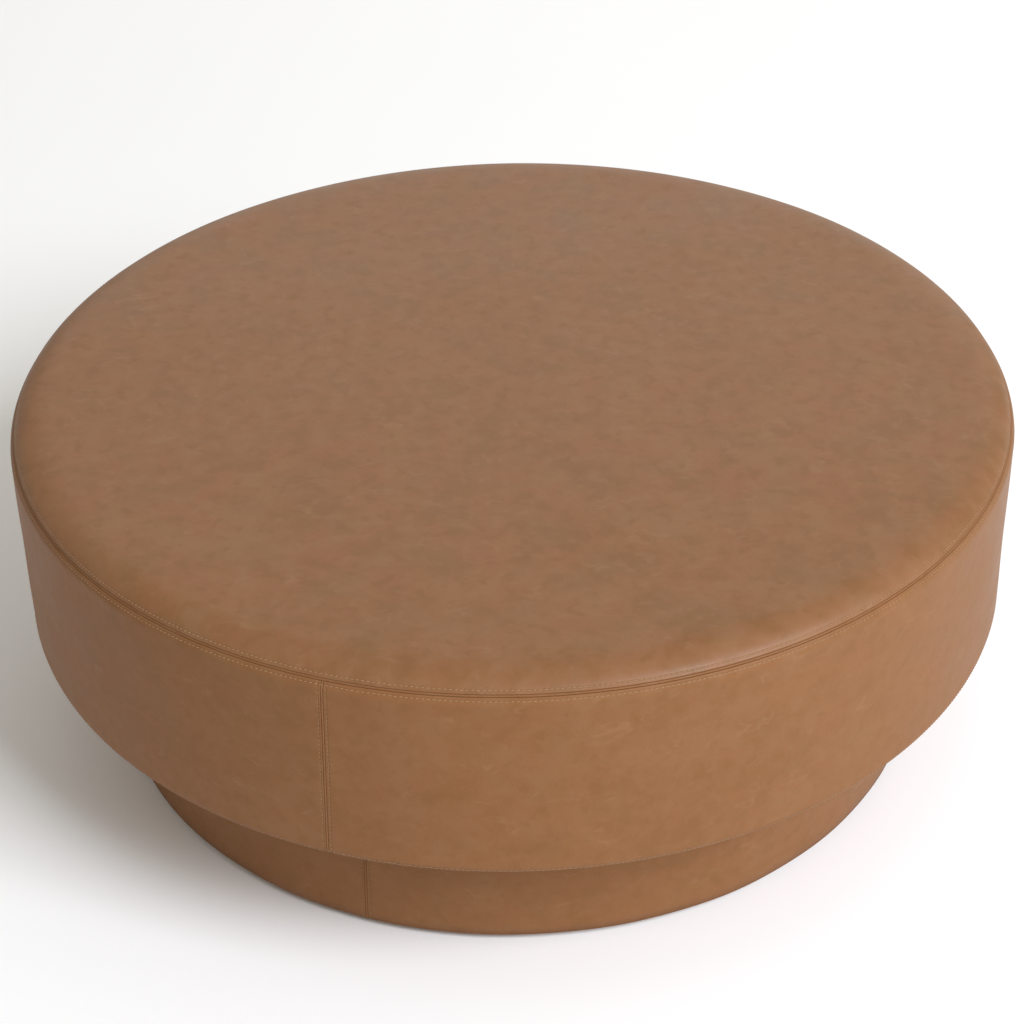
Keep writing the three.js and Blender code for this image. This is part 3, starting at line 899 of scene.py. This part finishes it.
def cambric_material(name):
    """Black non-woven cloth: a grid of small bonded dimples in a matt felt."""
    material = new_material(name, roughness=0.85, specular=0.25)
    tree = material.node_tree
    cloth = hide_place(tree)
    dimples = cells(tree, cloth, 620.0, 0.12)
    felt = stretch(tree, noise(tree, cloth, 900, 3, 0.6), 0.3, 0.7)
    shade = mix(tree, felt, rgba((0.011, 0.011, 0.012)), rgba((0.03, 0.03, 0.032)))
    colour = mix(tree, stretch(tree, dimples, 0.35, 0.1, 0.0, 0.5), shade, rgba((0.006, 0.006, 0.007)))
    return wire(material, colour, bump(tree, dimples, 0.15 * MM))


def zinc_material(name):
    """Bright zinc plate: faint bluish and yellowish clouds, and uneven gloss."""
    material = new_material(name, metallic=1.0)
    tree = material.node_tree
    clouds = noise(tree, object_place(tree), 160, 3)
    colour = mix(tree, clouds, rgba((0.52, 0.54, 0.57)), rgba((0.62, 0.60, 0.52)))
    return wire(material, colour, roughness=stretch(tree, clouds, 0.3, 0.7, 0.26, 0.44))


def nylon_material(name):
    """Moulded brown nylon, finely scuffed."""
    material = new_material(name)
    tree = material.node_tree
    scuffs = noise(tree, object_place(tree), 340, 5, 0.7)
    dark, light = rgba((0.02, 0.016, 0.013)), rgba((0.04, 0.033, 0.028))
    colour = mix(tree, stretch(tree, scuffs, 0.4, 0.7), dark, light)
    return wire(material, colour, bump(tree, scuffs, 0.04 * MM), stretch(tree, scuffs, 0.3, 0.7, 0.38, 0.6))


def finish(make, name, *details):
    """The material of that name, made the first time that it is asked for."""
    return bpy.data.materials.get(name) or make(name, *details)


def thread(pale):
    """The sewing thread's material: pale at the top seam, and closer to the leather at the others."""
    sewing = user_settings()[1]
    if pale:
        return finish(thread_material, "pale_thread", sewing.colour)
    return finish(thread_material, "tan_thread", sewing.quiet_colour)


TOP_HIDE, BAND_HIDE, PLINTH_HIDE, UNDERSIDE_HIDE, WELT_HIDE = 0, 1, 4, 7, 8


def tan_leather(number):
    """The leather of one panel: each is cut from another part of the hide, and the top is polished by use."""
    gloss, mottle, patch_scale = (0.29, 1.1, 19) if number == TOP_HIDE else (0.10, 0.7, 25)
    return finish(leather_material, f"tan_leather_{number}", 1.7 * number, gloss, mottle, patch_scale)


# ---------------------------------------------------------------- operators


class OTTOMAN_OT_top_panel(bpy.types.Operator):
    """Build the top leather panel, which rolls over the crown's shoulder into its seam"""

    bl_idname = "ottoman.top_panel"
    bl_label = "Top Panel"

    def execute(self, context):
        sewing = context.scene.ottoman_sewing
        path, angle = crown_path(), around(RIM_STEPS)
        length = running_length(path)[-1] - sewing.welt / 2
        distance, depth = across_panel(length, sewing, 0, sewing.row, coarse=16 * MM)
        distance[0] = 1 * MM
        radius = path_frame(path, distance)[0][:, :1]
        flat = from_above(radius, angle)
        relief = slack(*flat, wavelength=0.26, seed=5) * fade(SEAM_RADIUS - radius, 30 * MM)
        piece = leather_panel(
            "top_leather", "top_panel", TOP_HIDE, path, distance, depth, angle, relief, as_points(*flat),
            pole=True,
        )
        return {"FINISHED"}


class OTTOMAN_OT_band_panels(bpy.types.Operator):
    """Build the three leather panels round the drum"""

    bl_idname = "ottoman.band_panels"
    bl_label = "Band Panels"

    def execute(self, context):
        row = context.scene.ottoman_sewing.row
        side_panels("band_leather", "band_panel", BAND_HIDE, band_path(), DRUM_RADIUS, row)
        return {"FINISHED"}


class OTTOMAN_OT_underside(bpy.types.Operator):
    """Build the leather ring under the drum's overhang"""

    bl_idname = "ottoman.underside"
    bl_label = "Underside Ring"

    def execute(self, context):
        sewing = context.scene.ottoman_sewing
        path, angle = underside_path(), around(RIM_STEPS)
        length = running_length(path)[-1] - SEAM_GAP
        distance, depth = across_panel(length, sewing, sewing.row, 0)
        flat = from_above(path_frame(path, distance)[0][:, :1], angle)
        relief = 0.4 * slack(*flat, wavelength=0.12, seed=77) * fade(distance, 20 * MM)[:, None]
        piece = leather_panel(
            "underside_leather", "underside_ring", UNDERSIDE_HIDE, path, SEAM_GAP + distance, depth, angle,
            relief, as_points(*flat),
        )
        # It is pieced from strips as wide as the ring, which together have the ring's area.
        return {"FINISHED"}


class OTTOMAN_OT_plinth_panels(bpy.types.Operator):
    """Build the three leather panels round the plinth, turned under its lower edge"""

    bl_idname = "ottoman.plinth_panels"
    bl_label = "Plinth Panels"

    def execute(self, context):
        side_panels("plinth_leather", "plinth_panel", PLINTH_HIDE, plinth_path(), PLINTH_RADIUS, 0)
        return {"FINISHED"}


class OTTOMAN_OT_welts(bpy.types.Operator):
    """Build the narrow leather strips that show between the two sides of each double seam"""

    bl_idname = "ottoman.welts"
    bl_label = "Seam Welts"

    def execute(self, context):
        across, up, crease_shade = welt_section()
        up = up - (context.scene.ottoman_sewing.welt / 2 - 0.1 * MM)
        outward, upward = math.cos(math.radians(20)), math.sin(math.radians(20))
        level = SEAM_HEIGHT - 0.3 * MM
        ring = as_points(SEAM_RADIUS + outward * up + upward * across, level + upward * up - outward * across)
        piece = turned_piece("top_seam_welt", ring, tan_leather(WELT_HIDE), RIM_STEPS, crease_shade=crease_shade)
        band, plinth = band_path(), plinth_path()
        band_end = running_length(band)[-1] - 1.5 * MM
        plinth_end = PLINTH_TOP - HEM_BOTTOM + 20 * MM
        for i, turn in enumerate(SEAM_TURNS, 1):
            upright_welt(f"band_seam_welt_{i}", band, DRUM_RADIUS, 1 * MM, band_end, turn)
            upright_welt(f"plinth_seam_welt_{i}", plinth, PLINTH_RADIUS, SEAM_GAP, plinth_end, turn)
        return {"FINISHED"}


class OTTOMAN_OT_stitches(bpy.types.Operator):
    """Sew the rows of stitches along every seam"""

    bl_idname = "ottoman.stitches"
    bl_label = "Stitches"

    def execute(self, context):
        sewing = context.scene.ottoman_sewing
        crown, band, plinth = crown_path(), band_path(), plinth_path()
        band_end = running_length(band)[-1]
        upper, bottom = running_length(crown)[-1] - sewing.row, band_end - sewing.row + sewing.welt / 2
        ring_row("top_seam_stitches_upper", crown, upper, pale=True, seed=1)
        ring_row("top_seam_stitches_lower", band, sewing.row, pale=True, seed=2)
        ring_row("bottom_seam_stitches", band, bottom, pale=False, seed=3)
        first, last = sewing.row + 3 * MM, band_end - 7 * MM
        plinth_last = PLINTH_TOP - HEM_BOTTOM - 4 * MM
        for i, turn in enumerate(SEAM_TURNS):
            name = f"seam_stitches_{i + 1}"
            upright_rows(f"band_{name}", band, DRUM_RADIUS, first, last, turn, seed=10 + i)
            upright_rows(f"plinth_{name}", plinth, PLINTH_RADIUS, 1 * MM, plinth_last, turn, seed=20 + i)
        return {"FINISHED"}


class OTTOMAN_OT_padding(bpy.types.Operator):
    """Build the foam and the fibre inside the covers"""

    bl_idname = "ottoman.padding"
    bl_label = "Padding"

    def execute(self, context):
        foam = finish(foam_material, "foam", (0.85, 0.76, 0.47), (0.68, 0.58, 0.3), 700, 0.5 * MM)
        fibre = finish(foam_material, "polyester_fibre", (0.92, 0.92, 0.9), (0.72, 0.72, 0.7), 260, 1 * MM)
        gap = 0.3 * MM
        seat_radius, seat_top = high("seat_foam").x, high("seat_foam").z
        path = slab(seat_radius, low("seat_foam").z, seat_top, 16 * MM)
        piece = turned_piece("seat_foam_slab", path, foam, wobble=lumps(0.25 * MM, wavelength=0.12, seed=41))
        cad_piece(piece, "seat_foam")
        wrap_low, wrap_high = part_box("fibre_wrap")
        path = blanket(wrap_high.x - gap, seat_radius + gap, wrap_low.z, seat_top + gap, wrap_high.z)
        piece = turned_piece("fibre_layer", path, fibre, wobble=lumps(0.4 * MM, wavelength=0.035, seed=43))
        cad_piece(piece, "fibre_wrap")
        walls = (("side_foam", foam, 11.5 * MM), ("plinth_wadding", fibre, 2.3 * MM))
        for name, material, thickness in walls:
            for side in ("left", "right"):
                node = f"{name}_{side}"
                piece = half_wall(f"{name}_pad_{side}", node, side, material, thickness)
                cad_piece(piece, node)
        return {"FINISHED"}


class OTTOMAN_OT_dust_cover(bpy.types.Operator):
    """Stretch the black cloth under the plinth and staple it down"""

    bl_idname = "ottoman.dust_cover"
    bl_label = "Dust Cover"

    def execute(self, context):
        bottom, top = low("dust_cover").z, high("dust_cover").z
        out, hem = DUST_COVER_RADIUS, 12 * MM
        fold = out - hem
        radius = np.concatenate(
            [np.linspace(0, fold, 40), [fold + 0.4 * MM], np.linspace(out - 8 * MM, out - 1 * MM, 5)]
        )
        under = as_points(radius, np.where(radius > fold, bottom, bottom + 0.45 * MM))
        edge = [[out, bottom + 0.3 * MM], [out, top - 0.3 * MM], [out - 1 * MM, top]]
        over = as_points(np.linspace(fold, 0, 20), top)
        path = np.concatenate([under, edge, over])
        cloth = finish(cambric_material, "cambric")
        piece = turned_piece("dust_cover_cloth", path, cloth, 480, self.pulled)
        cad_piece(piece, "dust_cover")
        self.staple(out - 6 * MM, bottom)
        return {"FINISHED"}

    @staticmethod
    def pulled(radius, angle):
        """The cloth draws out towards each staple and bellies slightly between them: a cosine round the
        edge that fades inwards as a square, and ripples that fade outwards."""
        near_edge = np.clip(1 - (DUST_COVER_RADIUS - radius) / (60 * MM), 0, 1) ** 2
        scallops = 0.5 * np.cos(STAPLES * angle)
        belly = 0.12 * MM * ripples(*from_above(radius, angle), wavelength=0.09, seed=61)
        rise = belly * (1 - near_edge) + 0.12 * MM * near_edge * scallops
        return 0.7 * MM * near_edge * (scallops - 0.5), rise

    @staticmethod
    def staple(radius, level):
        """Staples round the hem: a flat wire carried along a crown with a leg at each end."""
        half, bend, leg = 5 * MM, 0.35 * MM, [0.5 * MM, 1.4 * MM]
        line = as_points(
            [-half, -half, -half + bend, half - bend, half, half], [leg[1], leg[0], 0, 0, leg[0], leg[1]]
        )
        slope = np.gradient(line, axis=0)
        slope /= np.linalg.norm(slope, axis=1)[:, None]
        normal = as_points(-slope[:, 1], slope[:, 0])
        out, side = np.array([-1, 1, 1, -1]) * 0.35 * MM, np.array([-1, -1, 1, 1]) * 0.55 * MM
        template = as_points(line[:, :1] + normal[:, :1] * out, side, line[:, 1:] + normal[:, 1:] * out)
        faces = tube_faces(*template.shape[:2])
        template = template.reshape(-1, 3)
        draw = np.random.default_rng(9)
        angle = around(STAPLES)
        place = polar(radius + draw.normal(0, 0.8 * MM, STAPLES), angle, level - 0.25 * MM)
        askew = angle + QUARTER_TURN + draw.normal(0, math.radians(5), STAPLES)
        up = np.broadcast_to([0.0, 0.0, 1.0], (STAPLES, 3))
        zinc = finish(zinc_material, "zinc_steel")
        piece = copies("staples", template, faces, place, polar(1.0, askew, 0.0), up, zinc, template[:, :2])


class OTTOMAN_OT_glides(bpy.types.Operator):
    """Build the nylon glides under the plinth"""

    bl_idname = "ottoman.glides"
    bl_label = "Glides"

    def execute(self, context):
        nylon = finish(nylon_material, "nylon")
        for i in range(GLIDES):
            node = f"glide_{i + 1}"
            centre = (low(node) + high(node)) / 2
            path = self.section((high(node).x - low(node).x) / 2, high(node).z)
            piece = turned_piece(f"{node}_foot", path, nylon, 48, centre=(centre.x, centre.y))
            cad_piece(piece, node)
        return {"FINISHED"}

    @staticmethod
    def section(radius, top):
        """Half of a glide's outline: a flat sole with a dimple over its nail, a rounded rim, and a pin."""
        bend, pin = 2.2 * MM, 1.5 * MM
        thick = low("dust_cover").z - 0.3 * MM
        turn = np.linspace(0, QUARTER_TURN, 7)
        sole = [[0, 0.7 * MM], [2.2 * MM, 0.7 * MM], [2.8 * MM, 0.5 * MM], [3.2 * MM, 0]]
        rim = as_points(radius - bend * (1 - np.sin(turn)), bend * (1 - np.cos(turn)))
        head = [[radius, thick - 0.4 * MM], [radius - 0.4 * MM, thick]]
        shank = [[pin, thick], [pin, top - 2 * MM], [0, top]]
        return np.concatenate([sole, rim, head, shank])


class OTTOMAN_OT_frame_finishes(bpy.types.Operator):
    """Give the boards, ribs, posts, skins and hardware inside their finishes"""

    bl_idname = "ottoman.frame_finishes"
    bl_label = "Frame Finishes"

    def execute(self, context):
        birch = (0.66, 0.47, 0.26), (0.46, 0.28, 0.13)
        pine = (0.74, 0.55, 0.29), (0.5, 0.3, 0.12)
        lauan = (0.46, 0.26, 0.13), (0.28, 0.14, 0.06)
        x, y, z = range(3)
        boards = wood_material("plywood_board", *birch, x, plies=z)
        posts = wood_material("softwood_post", *pine, z)
        skins = wood_material("bendable_skin", *lauan, z)
        zinc = finish(zinc_material, "zinc_steel")
        finishes = {
            "base_board": boards,
            "top_deck": boards,
            "plinth_lower_ring": boards,
            "plinth_upper_ring": boards,
            "long_rib": wood_material("plywood_long_rib", *birch, x, plies=y),
            "cross_rib": wood_material("plywood_cross_rib", *birch, y, plies=x),
            "drum_post": posts,
            "plinth_post": posts,
            "drum_skin": skins,
            "plinth_skin": skins,
            "bolt": zinc,
            "washer": zinc,
            "t_nut": zinc,
        }
        for name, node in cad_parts.items():
            kind = next((k for k in finishes if name.startswith(k)), None)
            if kind is not None:
                node.data.materials.clear()
                node.data.materials.append(finishes[kind])
        return {"FINISHED"}


class OTTOMAN_OT_stage(bpy.types.Operator):
    """Set up the floor, the soft studio lights and the camera"""

    bl_idname = "ottoman.stage"
    bl_label = "Stage"

    def execute(self, context):
        stage = context.scene.ottoman_stage
        self.floor(stage)
        self.room(context.scene, stage)
        self.softbox("key_light", (4.6, -4.4, 5.3), (3.8, 3.8), stage.key_light, (0.965, 1.0, 1.07))
        self.softbox("back_light", (0.4, 4.8, 2.05), (5.2, 2.6), stage.back_light, (1.0, 1.0, 1.0))
        self.camera(context.scene, stage)
        return {"FINISHED"}

    @staticmethod
    def floor(stage):
        """A wide, flat, faintly mottled floor."""
        half = 14.0
        corners = [(-half, -half, 0), (half, -half, 0), (half, half, 0), (-half, half, 0)]
        mesh = bpy.data.meshes.new("floor")
        mesh.from_pydata(corners, [], [(0, 1, 2, 3)])
        floor = bpy.data.objects.new("floor", mesh)
        bpy.context.scene.collection.objects.link(floor)
        paint = new_material("floor_paint", roughness=0.9, specular=0.1)
        tree = paint.node_tree
        light, dark = rgba(stage.floor_colour), rgba(stage.floor_colour, 0.99)
        mesh.materials.append(wire(paint, mix(tree, noise(tree, object_place(tree), 3, 4), dark, light)))

    @staticmethod
    def room(scene, stage):
        """An even, slightly warm room."""
        world = bpy.data.worlds.new("room")
        world.use_nodes = True
        background = world.node_tree.nodes["Background"]
        background.inputs["Color"].default_value = (1.0, 0.965, 0.88, 1.0)
        background.inputs["Strength"].default_value = stage.room_light
        scene.world = world
        scene.view_settings.view_transform = "Standard"

    @staticmethod
    def softbox(name, place, size, power, colour):
        """A rectangular area light that faces the ottoman."""
        light = bpy.data.lights.new(name, "AREA")
        light.shape = "RECTANGLE"
        light.size, light.size_y = size
        light.energy = power
        light.color = colour
        lamp = bpy.data.objects.new(name, light)
        lamp.location = place
        aim = Vector((0, 0, 0.25)) - Vector(place)
        lamp.rotation_euler = aim.to_track_quat("-Z", "Y").to_euler()
        bpy.context.scene.collection.objects.link(lamp)

    @staticmethod
    def camera(scene, stage):
        """A camera at the front, above the ottoman, looking down on it and turned a little on its axis."""
        lens = bpy.data.cameras.new("camera")
        lens.lens = stage.lens
        lens.sensor_width = 36
        camera = bpy.data.objects.new("camera", lens)
        foot, sideways = HEM_BOTTOM + 1.6 * MM, -0.00075
        away, above_foot = math.cos(stage.elevation), math.sin(stage.elevation)
        place = Vector((0, -stage.distance * away, foot + stage.distance * above_foot))
        ahead = Vector((sideways, math.cos(stage.tilt), -math.sin(stage.tilt))).normalized()
        right = ahead.cross(Vector((0, 0, 1))).normalized()
        above = right.cross(ahead)
        turn_right = math.cos(stage.roll) * right + math.sin(stage.roll) * above
        turn_up = math.cos(stage.roll) * above - math.sin(stage.roll) * right
        columns = Matrix((turn_right, turn_up, -ahead)).transposed()
        camera.matrix_world = Matrix.Translation(place) @ columns.to_4x4()
        scene.collection.objects.link(camera)
        scene.camera = camera


STEPS = (
    OTTOMAN_OT_top_panel,
    OTTOMAN_OT_band_panels,
    OTTOMAN_OT_underside,
    OTTOMAN_OT_plinth_panels,
    OTTOMAN_OT_welts,
    OTTOMAN_OT_stitches,
    OTTOMAN_OT_padding,
    OTTOMAN_OT_dust_cover,
    OTTOMAN_OT_glides,
    OTTOMAN_OT_frame_finishes,
    OTTOMAN_OT_stage,
)
SETTINGS = {"ottoman_leather": OttomanLeather, "ottoman_sewing": OttomanSewing, "ottoman_stage": OttomanStage}


class OTTOMAN_PT_panel(bpy.types.Panel):
    """Lists the settings and the steps in the order that they are run in."""

    bl_idname = "OTTOMAN_PT_panel"
    bl_label = "Round Leather Ottoman"
    bl_space_type = "VIEW_3D"
    bl_region_type = "UI"
    bl_category = "Ottoman"

    def draw(self, context):
        for name, group in SETTINGS.items():
            box = self.layout.box()
            for key in group.__annotations__:
                box.prop(getattr(context.scene, name), key)
        for step in STEPS:
            self.layout.operator(step.bl_idname)


CLASSES = (*SETTINGS.values(), *STEPS, OTTOMAN_PT_panel)


def register():
    for cls in CLASSES:
        bpy.utils.register_class(cls)
    for name, group in SETTINGS.items():
        setattr(bpy.types.Scene, name, PointerProperty(type=group))


def unregister():
    for name in SETTINGS:
        delattr(bpy.types.Scene, name)
    for cls in reversed(CLASSES):
        bpy.utils.unregister_class(cls)


def main():
    register()
    for step in STEPS:
        group, name = step.bl_idname.split(".")
        getattr(getattr(bpy.ops, group), name)()


if __name__ == "__main__":
    main()
